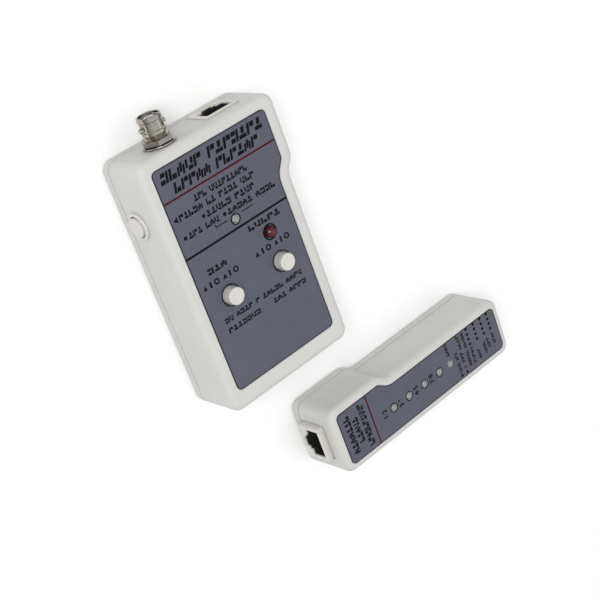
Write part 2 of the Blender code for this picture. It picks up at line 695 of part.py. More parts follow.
def make_main_board_parts():
    board("main_circuit_board", MAIN_CASE, MAIN_SCREWS, (-18.4, 46.8), MAIN)
    jack_housing("main", MAIN_JACK, MAIN)
    jack_contacts("main", MAIN_JACK, MAIN)
    chip("counter_chip", (7.0, 23.5), 16, MAIN)
    chip("timer_chip", (-15.5, 11.5), 8, MAIN, "Y")
    turned("smoothing_capacitor", [(0.0, 13.2), (2.2, 13.2), (2.5, 12.9), (2.5, 7.6),
                                   (2.25, 7.2), (2.5, 6.8), (2.5, PARTS_BASE),
                                   (0.0, PARTS_BASE)], (19.5, 10.0, 0.0), MAIN,
           "black_plastic", sides=16)
    network = box("main_resistor_network", (-12.5, 7.5, 30.4, 32.8, PARTS_BASE,
                                            PARTS_BASE + 4.8), MAIN, "black_plastic")
    soften(network, 0.3)


def make_main_label():
    room = LAMP_CLEARANCE + LABEL_CLEARANCE
    holes = ((*POWER_LAMP_AT, POWER_LAMP["radius"] + room),
             (*BNC_LAMP_AT, SMALL_LAMP["radius"] + room),
             (*POWER_AT, CAP_RADIUS + 0.5), (*GROUND_AT, CAP_RADIUS + 0.5))
    label("main_label", MAIN_LABEL, holes, MAIN)
    for number, (x, y) in enumerate(MAIN_SCREWS, 1):
        screw(f"main_screw_{number}", x, y, MAIN)


# ------------------------------------------------------------------ remote terminator
def make_remote():
    case = REMOTE_CASE
    front = front_shell("remote", case, REMOTE_LABEL, REMOTE_SCREWS, REMOTE)
    lamps = [(REMOTE_LAMP_X, y) for y in REMOTE_LAMPS_Y]
    room = SMALL_LAMP["radius"] + LAMP_CLEARANCE
    for number, (x, y) in enumerate(lamps, 1):
        cut(front, cylinder(f"remote_lamp_hole_{number}", (x, y, 0.0), room, 20.5, 28.0,
                            REMOTE, sides=16))
        lamp(f"remote_lamp_{number}", (x, y), SMALL_LAMP, REMOTE, "clear_lens")
    wall = case["top"]
    x, _ = REMOTE_JACK
    reach = JACK_WIDTH / 2 + GAP
    cut(front, box("remote_jack_hole", (x - reach, x + reach, wall - 4.0, wall + 1.0, 3.0,
                                        JACK_TOP + GAP), REMOTE))
    back = back_shell("remote", case, REMOTE_SCREWS, ((4.0, 0.0), (-6.0, 24.0)), REMOTE)
    cut(back, box("remote_jack_notch", (x - reach, x + reach, wall - 8.0, wall + 1.0,
                                        SEAM - GAP / 2, 9.0), REMOTE))
    board("remote_circuit_board", case, REMOTE_SCREWS, (-40.0, 46.8), REMOTE)
    jack_housing("remote", REMOTE_JACK, REMOTE)
    jack_contacts("remote", REMOTE_JACK, REMOTE)
    chip("remote_diode_array", (-7.2, -27.0), 8, REMOTE, "Y")
    network = box("remote_resistor_network", (3.4, 5.8, -22.0, -4.0, PARTS_BASE,
                                              PARTS_BASE + 4.8), REMOTE, "black_plastic")
    soften(network, 0.3)
    holes = [(x, y, room + LABEL_CLEARANCE) for x, y in lamps]
    label("remote_label", REMOTE_LABEL, holes, REMOTE)
    for number, (x, y) in enumerate(REMOTE_SCREWS, 1):
        screw(f"remote_screw_{number}", x, y, REMOTE)


def shade_round_pieces():
    """Smooth shading with sharp edges kept where faces meet at more than 30 degrees."""
    for obj in parts_collection.objects:
        if obj.type == "MESH" and obj.data.polygons:
            obj.data.shade_smooth()
            obj.data.set_sharp_from_angle(angle=radians(30))


make_main_shells()
make_battery_parts()
make_bnc_socket()
make_main_controls()
make_main_board_parts()
make_main_label()
make_remote()
shade_round_pieces()
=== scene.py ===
"""Looks of the network cable tester and its loose remote terminator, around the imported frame."""
import random
from math import atan2, cos, inf, pi, radians, sin, tan

import bmesh
import bpy
from mathutils import Matrix, Vector


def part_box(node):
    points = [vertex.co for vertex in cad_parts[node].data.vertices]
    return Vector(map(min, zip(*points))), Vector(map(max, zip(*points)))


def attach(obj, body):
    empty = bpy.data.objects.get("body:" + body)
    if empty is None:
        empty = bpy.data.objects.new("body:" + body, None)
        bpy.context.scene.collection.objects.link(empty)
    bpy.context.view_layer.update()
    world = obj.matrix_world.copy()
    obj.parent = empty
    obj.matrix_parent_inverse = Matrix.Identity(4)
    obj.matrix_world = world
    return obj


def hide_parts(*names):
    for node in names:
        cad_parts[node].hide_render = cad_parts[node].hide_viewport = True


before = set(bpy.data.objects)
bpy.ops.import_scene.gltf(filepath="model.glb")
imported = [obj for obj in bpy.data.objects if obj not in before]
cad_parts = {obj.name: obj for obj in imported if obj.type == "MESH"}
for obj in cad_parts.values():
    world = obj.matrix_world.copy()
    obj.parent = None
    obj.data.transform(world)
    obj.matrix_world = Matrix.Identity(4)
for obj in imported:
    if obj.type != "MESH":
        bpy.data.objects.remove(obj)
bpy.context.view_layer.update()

MM = 0.001             # every size below is in millimetres, in the frame of its own unit

# ---- sizes that no box in the frame states ----
WALL = 2.0
FRONT_EDGE = 2.6       # rounding of the front edges
BACK_EDGE = 1.6
SMALLEST_CORNER = 0.8
SEAM_GAP = 0.62        # shadow gap between the two shells, drawn wider than in the CAD
CAD_SEAM_GAP = 0.3
EDGE_SOFTENING = 0.22  # rounding of the shells' sharp edges
RECESS = 0.42          # label recess, front face to its floor
LABEL_RIM = 0.28       # gap between the label and its recess
INK = 0.03             # printed ink stands this far out of the label
JACK_SLOT = 1.1        # gap in the shell over a jack
JACK_SIDE = 0.28       # and at its sides
POST_RADIUS = 2.75     # the screws' posts and bosses
POST_TOP = 7.0
SCREW_HOLE = 1.5
SCREW_HEAD_ROOM = 2.9  # radius of the sunk hole
CAP_RADIUS = 3.5
CAP_HOLE = 3.85
RED_LAMP_RADIUS = 2.5
RED_LAMP_HOLE = 2.62
SMALL_LAMP_RADIUS = 1.5
SMALL_LAMP_HOLE = 1.72
LAMP_BASE = 19.6       # height of the lamps' flanges
BNC_HOLE = 4.95
TEST_BUTTON_HOLE = 5.0
LUG_REACH = 7.7        # from the end wall to the lugs' axis
COVER_TAB = 1.2        # the battery cover's side tabs
COVER_TONGUE = 1.8
COVER_GAP = 0.18
GROUP_GAP = 0.7        # between groups of marks, in marks
# Where each case and its label step in on the right, and their plan radii.
MAIN_STEP = dict(inset=4.0, low=18.7, high=24.4, corner=4.5, bend=5.0)
MAIN_LABEL_STEP = dict(inset=4.0, low=20.1, high=25.8, corner=2.2, bend=9.3)
REMOTE_STEP = dict(inset=3.7, low=16.8, high=22.3, corner=4.5, bend=5.0)
REMOTE_LABEL_STEP = dict(inset=3.7, low=17.8, high=23.3, corner=2.2, bend=8.4)


# ------------------------------------------------------------------ units
def middle(node):
    low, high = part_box(node)
    return Vector([(a + b) / 2 for a, b in zip(low, high)])


remote_middle = middle("remote_front_shell")
MAIN = dict(tag="main", body="tester", matrix=Matrix.Identity(4), step=MAIN_STEP,
            label_step=MAIN_LABEL_STEP)
REMOTE = dict(tag="remote", body="remote_unit", step=REMOTE_STEP, label_step=REMOTE_LABEL_STEP,
              matrix=Matrix.Translation((remote_middle.x, remote_middle.y, 0.0))
              @ Matrix.Rotation(radians(90), 4, "Z"))


def local_box(node, unit):
    """A CAD node's box in its unit's frame, in millimetres: x0, x1, y0, y1, z0, z1."""
    low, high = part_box(node)
    back = unit["matrix"].inverted()
    ends = [back @ Vector(low) / MM, back @ Vector(high) / MM]
    box = []
    for axis in range(3):
        box += sorted(end[axis] for end in ends)
    return box


def local_middle(node, unit):
    x0, x1, y0, y1, z0, z1 = local_box(node, unit)
    return (x0 + x1) / 2, (y0 + y1) / 2, (z0 + z1) / 2


def read_outline(node, unit, step):
    """The outline sizes of a stepped plate or case, from the frame."""
    x0, x1, y0, y1, z0, z1 = local_box(node, unit)
    return dict(left=x0, head=x1, waist=x1 - step["inset"], bottom=y0, top=y1,
                step_low=step["low"], step_high=step["high"], corner=step["corner"],
                bend=step["bend"], low=z0, high=z1)


def read_case(unit):
    case = read_outline(unit["tag"] + "_front_shell", unit, unit["step"])
    case["depth"] = case["high"]
    case["seam"] = case["low"] - CAD_SEAM_GAP / 2
    return case


def read_label(unit):
    return read_outline(unit["tag"] + "_label", unit, unit["label_step"])


# ------------------------------------------------------------------ materials
def new_material(name):
    made = bpy.data.materials.new(name)
    made.use_nodes = True
    return made, made.node_tree.nodes, made.node_tree.links, made.node_tree.nodes["Principled BSDF"]


def mottled(name, colour, second, scale, roughness, roughness_second=None, metallic=0.0,
            bump=0.0, bump_scale=2500.0, extra=None):
    """A surface whose colour and roughness drift with soft noise, over a fine grain."""
    made, nodes, links, shader = new_material(name)
    place = nodes.new("ShaderNodeTexCoord")
    noise = nodes.new("ShaderNodeTexNoise")
    noise.inputs["Scale"].default_value = scale
    noise.inputs["Detail"].default_value = 5.0
    noise.inputs["Roughness"].default_value = 0.6
    links.new(place.outputs["Object"], noise.inputs["Vector"])
    blend = nodes.new("ShaderNodeMix")
    blend.data_type = "RGBA"
    blend.inputs["A"].default_value = (*colour, 1.0)
    blend.inputs["B"].default_value = (*second, 1.0)
    links.new(noise.outputs["Fac"], blend.inputs["Factor"])
    links.new(blend.outputs["Result"], shader.inputs["Base Color"])
    if roughness_second is None:
        shader.inputs["Roughness"].default_value = roughness
    else:
        drift = nodes.new("ShaderNodeMapRange")
        drift.inputs["From Min"].default_value = 0.3
        drift.inputs["From Max"].default_value = 0.7
        drift.inputs["To Min"].default_value = roughness
        drift.inputs["To Max"].default_value = roughness_second
        links.new(noise.outputs["Fac"], drift.inputs["Value"])
        links.new(drift.outputs["Result"], shader.inputs["Roughness"])
    shader.inputs["Metallic"].default_value = metallic
    if bump:
        grain = nodes.new("ShaderNodeTexNoise")
        grain.inputs["Scale"].default_value = bump_scale
        grain.inputs["Detail"].default_value = 3.0
        links.new(place.outputs["Object"], grain.inputs["Vector"])
        relief = nodes.new("ShaderNodeBump")
        relief.inputs["Strength"].default_value = bump
        relief.inputs["Distance"].default_value = 0.0001
        links.new(grain.outputs["Fac"], relief.inputs["Height"])
        links.new(relief.outputs["Normal"], shader.inputs["Normal"])
    for socket, value in (extra or {}).items():
        shader.inputs[socket].default_value = value
    return made


CASING = mottled("casing_plastic", (0.565, 0.562, 0.545), (0.525, 0.521, 0.503), 90.0, 0.48,
                 0.60, bump=0.55, bump_scale=2300.0, extra={"IOR": 1.50})
CAP = mottled("cap_plastic", (0.60, 0.590, 0.545), (0.55, 0.540, 0.495), 240.0, 0.34, 0.44,
              bump=0.12, bump_scale=3000.0)
MATT = {"Specular IOR Level": 0.06}
OVERLAY = mottled("label_film", (0.090, 0.094, 0.122), (0.072, 0.076, 0.102), 140.0, 0.48,
                  0.58, bump=0.35, bump_scale=5200.0, extra={"Specular IOR Level": 0.30})
# Black for the printed marks; the same black paints shade as rings round the labels' holes and a
# line along their edges.
INK_AND_SHADE_BLACK = mottled("ink_and_painted_shade_black", (0.004, 0.004, 0.005), (0.008, 0.008, 0.009), 600.0, 0.62,
                    0.72, extra=MATT)
INK_RED = mottled("ink_red", (0.070, 0.004, 0.007), (0.052, 0.004, 0.006), 600.0, 0.55, 0.65,
                  extra=MATT)
INK_BROWN = mottled("ink_brown", (0.10, 0.04, 0.03), (0.07, 0.03, 0.025), 600.0, 0.55, 0.65,
                    extra=MATT)
# Nickel mottled between bright metal and a near-black tone: the dark patches are painted dark
# reflections, not the plating's own colour.
NICKEL = mottled("nickel_plate", (0.60, 0.57, 0.51), (0.10, 0.09, 0.075), 420.0, 0.05, 0.16,
                 metallic=1.0, bump=0.10, bump_scale=1800.0)
# Darker nickel for the nut, mottled with near-black patches: painted dark reflections.
NICKEL_DARK_REFLECTIONS = mottled("nickel_dark_painted_reflections", (0.44, 0.41, 0.36), (0.12, 0.11, 0.09), 520.0, 0.14,
                      0.32, metallic=1.0, bump=0.20, bump_scale=2600.0)
GOLD = mottled("gold_flash", (0.80, 0.55, 0.22), (0.64, 0.42, 0.15), 900.0, 0.18, 0.32,
               metallic=1.0)
PTFE = mottled("ptfe_white", (0.66, 0.66, 0.64), (0.60, 0.60, 0.58), 500.0, 0.38, 0.50,
               extra={"Subsurface Weight": 0.10, "Subsurface Scale": 0.001})
JACK = mottled("jack_ivory", (0.62, 0.605, 0.56), (0.56, 0.545, 0.50), 300.0, 0.36, 0.48,
               bump=0.15, bump_scale=2600.0)
# Black plastic for switches, chips and the like; also the painted shade that lines the jacks'
# openings.
BLACK_AND_SHADE = mottled("black_moulding_and_painted_shade", (0.010, 0.010, 0.011), (0.018, 0.018, 0.019), 400.0, 0.42,
                0.58, bump=0.25, bump_scale=2600.0)
BOARD = mottled("solder_mask", (0.020, 0.150, 0.055), (0.014, 0.110, 0.040), 260.0, 0.30,
                0.44, bump=0.15, bump_scale=1500.0)
STEEL = mottled("zinc_steel", (0.50, 0.50, 0.49), (0.38, 0.38, 0.37), 900.0, 0.26, 0.44,
                metallic=1.0, bump=0.12, bump_scale=2200.0)
TIN = mottled("tinned_lead", (0.62, 0.61, 0.58), (0.50, 0.49, 0.46), 900.0, 0.30, 0.45,
              metallic=1.0)
BATTERY_CAN = mottled("battery_can", (0.035, 0.036, 0.042), (0.055, 0.056, 0.062), 200.0,
                      0.28, 0.40)
WIRE_RED = mottled("wire_red", (0.42, 0.015, 0.015), (0.34, 0.012, 0.012), 500.0, 0.38, 0.5)
WIRE_BLACK = mottled("wire_black", (0.014, 0.014, 0.014), (0.024, 0.024, 0.024), 500.0, 0.38,
                     0.5)
RED_LENS = mottled("red_lens", (0.10, 0.001, 0.003), (0.07, 0.001, 0.002), 500.0, 0.09, 0.15,
                   extra={"Transmission Weight": 0.30, "IOR": 1.53})
CLEAR_LENS = mottled("clear_lens", (0.88, 0.90, 0.89), (0.80, 0.82, 0.82), 500.0, 0.05, 0.10,
                     extra={"Transmission Weight": 0.72, "IOR": 1.53})


# ------------------------------------------------------------------ mesh helpers
def link(name, body):
    """A mesh object from a bmesh, which is freed."""
    bmesh.ops.recalc_face_normals(body, faces=body.faces)
    mesh = bpy.data.meshes.new(name)
    body.to_mesh(mesh)
    body.free()
    obj = bpy.data.objects.new(name, mesh)
    bpy.context.scene.collection.objects.link(obj)
    return obj


def corner_arc(before, here, after, radius, steps):
    """Points that round one corner of a path."""
    if radius <= 0:
        return [tuple(here)]
    back = (before - here).normalized()
    ahead = (after - here).normalized()
    half = back.angle(ahead) / 2
    if half > pi / 2 - 0.001:
        return [tuple(here)]
    centre = here + (back + ahead).normalized() * (radius / sin(half))
    start = here + back * (radius / tan(half)) - centre
    end = here + ahead * (radius / tan(half)) - centre
    first = atan2(start.y, start.x)
    sweep = (atan2(end.y, end.x) - first + pi) % (2 * pi) - pi
    return [(centre.x + radius * cos(first + sweep * step / steps),
             centre.y + radius * sin(first + sweep * step / steps))
            for step in range(steps + 1)]


def rounded(corners, steps=8, closed=True):
    """A path whose corners (x, y, radius) become arcs; an open path keeps its two ends."""
    points = []
    count = len(corners)
    for index, (x, y, radius) in enumerate(corners):
        if not closed and index in (0, count - 1):
            points.append((x, y))
            continue
        before = Vector(corners[index - 1][:2])
        after = Vector(corners[(index + 1) % count][:2])
        points += corner_arc(before, Vector((x, y)), after, radius, steps)
    return points


def case_outline(case, inset, steps=10):
    """The outline of a case moved inwards by inset; the step on its right keeps its slope."""
    lean = atan2(case["head"] - case["waist"], case["step_high"] - case["step_low"])
    lift = inset * tan(lean / 2)
    outer = max(case["corner"] - inset, SMALLEST_CORNER)
    left = case["left"] + inset
    waist = case["waist"] - inset
    head = case["head"] - inset
    bottom = case["bottom"] + inset
    top = case["top"] - inset
    return rounded([(left, bottom, outer), (waist, bottom, outer),
                    (waist, case["step_low"] + lift, case["bend"] + inset),
                    (head, case["step_high"] + lift, outer),
                    (head, top, outer), (left, top, outer)], steps)


def slab(name, outline, low, high, axis="Z"):
    """A flat outline given a thickness. On axis Y the outline lies in X and Z."""
    body = bmesh.new()
    face = body.faces.new([body.verts.new((x * MM, y * MM, low * MM)) for x, y in outline])
    grown = bmesh.ops.extrude_face_region(body, geom=[face])["geom"]
    moved = [item for item in grown if isinstance(item, bmesh.types.BMVert)]
    bmesh.ops.translate(body, verts=moved, vec=(0.0, 0.0, (high - low) * MM))
    if axis == "Y":
        swap = Matrix(((1, 0, 0, 0), (0, 0, 1, 0), (0, 1, 0, 0), (0, 0, 0, 1)))
        bmesh.ops.transform(body, matrix=swap, verts=body.verts)
    return link(name, body)


def block(name, x0, x1, y0, y1, z0, z1):
    """A plain box, used as a cutter or as the start of a shaped piece."""
    return slab(name, [(x0, y0), (x1, y0), (x1, y1), (x0, y1)], z0, z1)


def lathe(name, profile, centre, axis="Z", sides=64, closed=False):
    """A turned piece: profile points are (radius, height along the axis)."""
    body = bmesh.new()
    rings = []
    for radius, height in profile:
        if radius < 1e-6:
            rings.append([body.verts.new((0.0, 0.0, height * MM))])
            continue
        rings.append([body.verts.new((radius * MM * cos(2 * pi * k / sides),
                                      radius * MM * sin(2 * pi * k / sides), height * MM))
                      for k in range(sides)])
    pairs = list(zip(rings, rings[1:]))
    if closed:
        pairs.append((rings[-1], rings[0]))
    for first, second in pairs:
        for k in range(sides):
            following = (k + 1) % sides
            if len(first) == 1 and len(second) == 1:
                continue
            if len(first) == 1:
                body.faces.new((first[0], second[k], second[following]))
            elif len(second) == 1:
                body.faces.new((first[k], second[0], first[following]))
            else:
                body.faces.new((first[k], second[k], second[following], first[following]))
    turn = {"Z": Matrix.Identity(4), "Y": Matrix.Rotation(-pi / 2, 4, "X"),
            "-X": Matrix.Rotation(-pi / 2, 4, "Y"), "X": Matrix.Rotation(pi / 2, 4, "Y")}[axis]
    place = Matrix.Translation([value * MM for value in centre])
    bmesh.ops.transform(body, matrix=place @ turn, verts=body.verts)
    return link(name, body)


def rod(name, centre, radius, low, high, axis="Z", sides=48):
    """A cylinder, used as a cutter."""
    return lathe(name, [(0.0, high), (radius, high), (radius, low), (0.0, low)], centre, axis,
                 sides)


def settle(obj):
    """Make an object's modifiers part of its mesh."""
    bpy.context.view_layer.update()
    graph = bpy.context.evaluated_depsgraph_get()
    mesh = bpy.data.meshes.new_from_object(obj.evaluated_get(graph))
    old = obj.data
    obj.modifiers.clear()
    obj.data = mesh
    bpy.data.meshes.remove(old)


def carve(obj, *tools, operation="DIFFERENCE"):
    """Cut the tools out of an object, or join them to it, and remove them."""
    for tool in tools:
        change = obj.modifiers.new("carve", "BOOLEAN")
        change.operation = operation
        change.object = tool
    settle(obj)
    for tool in tools:
        bpy.data.objects.remove(tool, do_unlink=True)


def soften(obj, width, segments=2, angle=40):
    """Round the sharp edges."""
    bevel = obj.modifiers.new("soften", "BEVEL")
    bevel.limit_method = "ANGLE"
    bevel.angle_limit = radians(angle)
    bevel.width = width * MM
    bevel.segments = segments
    bevel.use_clamp_overlap = True
    settle(obj)


def round_rim(obj, height, width, segments):
    """Round the rim edges that lie at one height."""
    mesh = obj.data
    weights = mesh.attributes.new("bevel_weight_edge", "FLOAT", "EDGE")
    for edge in mesh.edges:
        ends = [mesh.vertices[index].co.z for index in edge.vertices]
        if all(abs(z - height * MM) < 1e-6 for z in ends):
            weights.data[edge.index].value = 1.0
    bevel = obj.modifiers.new("rim", "BEVEL")
    bevel.limit_method = "WEIGHT"
    bevel.width = width * MM
    bevel.segments = segments
    settle(obj)
    obj.data.attributes.remove(obj.data.attributes["bevel_weight_edge"])


def hand_over(obj, unit, paint, body=None, nodes=()):
    """Finish a piece: into the row's frame, shaded, painted and riding on its body."""
    obj.data.transform(unit["matrix"])
    obj.data.materials.clear()
    obj.data.materials.append(paint)
    obj.data.shade_smooth()
    obj.data.set_sharp_from_angle(angle=radians(32))
    weighted = obj.modifiers.new("normals", "WEIGHTED_NORMAL")
    weighted.keep_sharp = True
    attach(obj, body or unit["body"])
    if nodes:
        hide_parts(*nodes)
    return obj


# ------------------------------------------------------------------ casings
def jack_cutter(unit, case, low, high=inf):
    """The cut-out for the modular jack in the end wall, up to high or the slot over the jack."""
    x0, x1, _, _, _, z1 = local_box(unit["tag"] + "_rj45_housing", unit)
    return block("jack_cut", x0 - JACK_SIDE, x1 + JACK_SIDE, case["top"] - 5.0,
                 case["top"] + 2.0, low, min(high, z1 + JACK_SLOT))


def screw_places(unit):
    names = [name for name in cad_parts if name.startswith(unit["tag"] + "_screw_")]
    return {name: local_middle(name, unit) for name in sorted(names)}


def front_casing(unit, case, panel, top_holes, wall_holes):
    """The deep front shell, with its label recess and the holes for what comes through."""
    tag = unit["tag"]
    shell = slab(tag + "_front_casing", case_outline(case, 0.0), case["seam"] + SEAM_GAP / 2,
                 case["depth"])
    round_rim(shell, case["depth"], FRONT_EDGE, 9)
    tools = [slab("room", case_outline(case, WALL), case["seam"] - 3.0,
                  case["depth"] - WALL),
             slab("recess", case_outline(panel, -LABEL_RIM), case["depth"] - RECESS,
                  case["depth"] + 3.0)]
    for x, y, radius in top_holes:
        tools.append(rod("hole", (x, y, 0.0), radius, case["depth"] - 6.0,
                         case["depth"] + 3.0))
    for centre, radius, axis in wall_holes:
        tools.append(rod("hole", centre, radius, -4.0, 3.0, axis))
    tools.append(jack_cutter(unit, case, case["seam"] - 2.0))
    carve(shell, *tools)
    soften(shell, EDGE_SOFTENING, 2, 45)
    for x, y, _ in screw_places(unit).values():
        boss = rod("boss", (x, y, 0.0), POST_RADIUS, POST_TOP + 0.4, case["depth"] - WALL + 0.2)
        carve(shell, boss, operation="UNION")
        carve(shell, rod("pilot", (x, y, 0.0), SCREW_HOLE, 6.0, 16.0, sides=24))
    return hand_over(shell, unit, CASING, nodes=[tag + "_front_shell"])


def back_casing(unit, case, extra_tools=()):
    """The shallow back shell: floor, lip, posts and sunk screw holes."""
    tag = unit["tag"]
    shell = slab(tag + "_back_casing", case_outline(case, 0.0), 0.0,
                 case["seam"] - SEAM_GAP / 2)
    round_rim(shell, 0.0, BACK_EDGE, 5)
    soften(shell, EDGE_SOFTENING, 2, 60)
    carve(shell, slab("lip", case_outline(case, WALL + 0.3), 3.0, POST_TOP), operation="UNION")
    tools = [slab("room", case_outline(case, WALL + 1.5), 3.0, 9.0),
             jack_cutter(unit, case, case["seam"] - CAD_SEAM_GAP / 2, 9.0)]
    carve(shell, *tools)
    for x, y, _ in screw_places(unit).values():
        carve(shell, rod("post", (x, y, 0.0), POST_RADIUS, 2.6, POST_TOP), operation="UNION")
        carve(shell, rod("hole", (x, y, 0.0), SCREW_HOLE, -1.0, 9.0, sides=32),
              rod("head_room", (x, y, 0.0), SCREW_HEAD_ROOM, -1.0, 1.5))
    if extra_tools:
        carve(shell, *extra_tools)
    return hand_over(shell, unit, CASING, nodes=[tag + "_back_shell"])


def cover_tools(case):
    """What is cut out of the main unit's back for the battery cover."""
    x0, x1, y0, y1, _, z1 = local_box("battery_cover", MAIN)
    left, right = x0 + COVER_TAB, x1 - COVER_TAB      # the cover without its side tabs
    plate_end = y1 - COVER_TONGUE                     # and without its tongue
    ceiling = z1 + 0.3
    end = case["bottom"] - 1.0
    centre = (left + right) / 2
    return [block("pocket", left - COVER_GAP, right + COVER_GAP, end, plate_end + COVER_GAP,
                  -1.0, ceiling),
            block("grooves", left - 1.5, right + 1.5, end, -43.7, 0.4, ceiling),
            block("tongue_slot", centre - 8.4, centre + 8.4, -22.0, -19.4, 0.7, ceiling),
            block("hatch", left + 1.5, right - 1.5, -46.6, -23.0, 1.0, 4.0)]


def battery_cover(case):
    """The sliding cover, with a ribbed thumb grip and a pressed arrow."""
    x0, x1, y0, y1, z0, z1 = local_box("battery_cover", MAIN)
    left, right = x0 + COVER_TAB, x1 - COVER_TAB
    plate_end = y1 - COVER_TONGUE
    centre = (left + right) / 2
    cover = block("battery_cover_panel", left, right, y0, plate_end, z0 + 0.02, z1)
    soften(cover, 0.3, 3)
    carve(cover, block("tabs", x0, x1, -50.0, -44.0, 0.75, z1 - 0.02),
          block("tongue", centre - 8.0, centre + 8.0, plate_end - 1.0, y1, 1.0, z1 - 0.02),
          operation="UNION")
    grips = [slab("grip", rounded([(centre - 7, y - 0.45, 0.4), (centre + 7, y - 0.45, 0.4),
                                   (centre + 7, y + 0.45, 0.4), (centre - 7, y + 0.45, 0.4)],
                                  4), -1.0, 0.45) for y in (-47.2, -45.4, -43.6, -41.8, -40.0)]
    arrow = slab("arrow", [(centre, -38.2), (centre - 3.2, -34.6), (centre - 1.2, -34.6),
                           (centre - 1.2, -29.8), (centre + 1.2, -29.8),
                           (centre + 1.2, -34.6), (centre + 3.2, -34.6)][::-1], -1.0, 0.3)
    carve(cover, *grips, arrow)
    soften(cover, 0.06, 1, 50)
    return hand_over(cover, MAIN, CASING, "battery_cover", ["battery_cover"])


# ------------------------------------------------------------------ printed labels, with painted shade round their holes and edges
def label_film(unit, panel, holes):
    """The printed film, with round holes for what comes through it."""
    tag = unit["tag"]
    high = local_box(tag + "_label", unit)[5]
    film = slab(tag + "_label_film", case_outline(panel, 0.0), high - 0.25, high)
    carve(film, *[rod("hole", (x, y, 0.0), radius, high - 2.0, high + 2.0)
                  for x, y, radius in holes])
    soften(film, 0.05, 1, 50)
    return hand_over(film, unit, OVERLAY, nodes=[tag + "_label"])


def printed(name, shapes, unit, paint):
    """Ink on a label, and painted shade drawn like it: flat shapes of a hair's thickness, in one
    piece.
    """
    high = local_box(unit["tag"] + "_label", unit)[5]
    body = bmesh.new()
    for outline in shapes:
        face = body.faces.new([body.verts.new((x * MM, y * MM, (high - 0.01) * MM))
                               for x, y in outline])
        grown = bmesh.ops.extrude_face_region(body, geom=[face])["geom"]
        moved = [item for item in grown if isinstance(item, bmesh.types.BMVert)]
        bmesh.ops.translate(body, verts=moved, vec=(0.0, 0.0, (0.01 + INK) * MM))
    return hand_over(link(name, body), unit, paint)


def bar(x0, x1, y, thick, slant=0.0):
    """A horizontal stroke, or an upright one when it is tall, leaning by slant."""
    lean = thick * slant / 2
    return [(x0 - lean, y - thick / 2), (x1 - lean, y - thick / 2), (x1 + lean, y + thick / 2),
            (x0 + lean, y + thick / 2)]


def dot(x, y, radius, sides=20):
    return [(x + radius * cos(2 * pi * k / sides), y + radius * sin(2 * pi * k / sides))
            for k in range(sides)]


def hoop(x, y, outer, inner, start=0.0, stop=360.0, sides=28):
    """Quads round an arc of a ring."""
    shapes = []
    for k in range(sides):
        a = radians(start + (stop - start) * k / sides)
        b = radians(start + (stop - start) * (k + 1) / sides)
        shapes.append([(x + inner * cos(a), y + inner * sin(a)),
                       (x + outer * cos(a), y + outer * sin(a)),
                       (x + outer * cos(b), y + outer * sin(b)),
                       (x + inner * cos(b), y + inner * sin(b))])
    return shapes


# Marks that stand for lettering: detached strokes (x0, x1, y0, y1) in a cell one unit wide
# and one high. None of them is a letter.
MARKS = (
    ((0.0, 0.34, 0.0, 1.0), (0.42, 1.0, 0.56, 1.0)),
    ((0.0, 0.34, 0.0, 1.0), (0.42, 1.0, 0.0, 0.44)),
    ((0.0, 0.60, 0.62, 1.0), (0.0, 0.60, 0.0, 0.38), (0.68, 1.0, 0.0, 1.0)),
    ((0.0, 0.29, 0.0, 0.76), (0.35, 0.65, 0.24, 1.0), (0.71, 1.0, 0.0, 0.76)),
    ((0.0, 1.0, 0.0, 0.34), (0.28, 0.72, 0.44, 1.0)),
    ((0.0, 0.30, 0.28, 1.0), (0.38, 1.0, 0.0, 0.36), (0.66, 1.0, 0.46, 1.0)),
)


def blocks_line(dice, x0, x1, y, height, words, slant=0.0, fill=0.86):
    """A line of marks in place of lettering: words gives the marks in each group."""
    pitch = (x1 - x0) / (sum(words) + GROUP_GAP * (len(words) - 1))
    shapes = []
    x = x0
    for count in words:
        for _ in range(count):
            width = pitch * fill
            for left, right, low, high in dice.choice(MARKS):
                middle_y = y + height * ((low + high) / 2 - 0.5)
                shift = (middle_y - y) * slant
                shapes.append(bar(x + left * width + shift, x + right * width + shift, middle_y,
                                  height * (high - low), slant))
            x += pitch
        x += GROUP_GAP * pitch
    return shapes


def recess_shade_line(panel, inset, width):
    """Quads round the edge of a label, inset from it: painted shade for the gap between the label
    and its recess.
    """
    outer = case_outline(panel, inset)
    inner = case_outline(panel, inset + width)
    count = len(outer)
    return [[outer[k], outer[(k + 1) % count], inner[(k + 1) % count], inner[k]]
            for k in range(count)]


def triangle(x, y, size):
    return [(x - size / 2, y - size / 2), (x + size / 2, y - size / 2), (x, y + size / 2)]


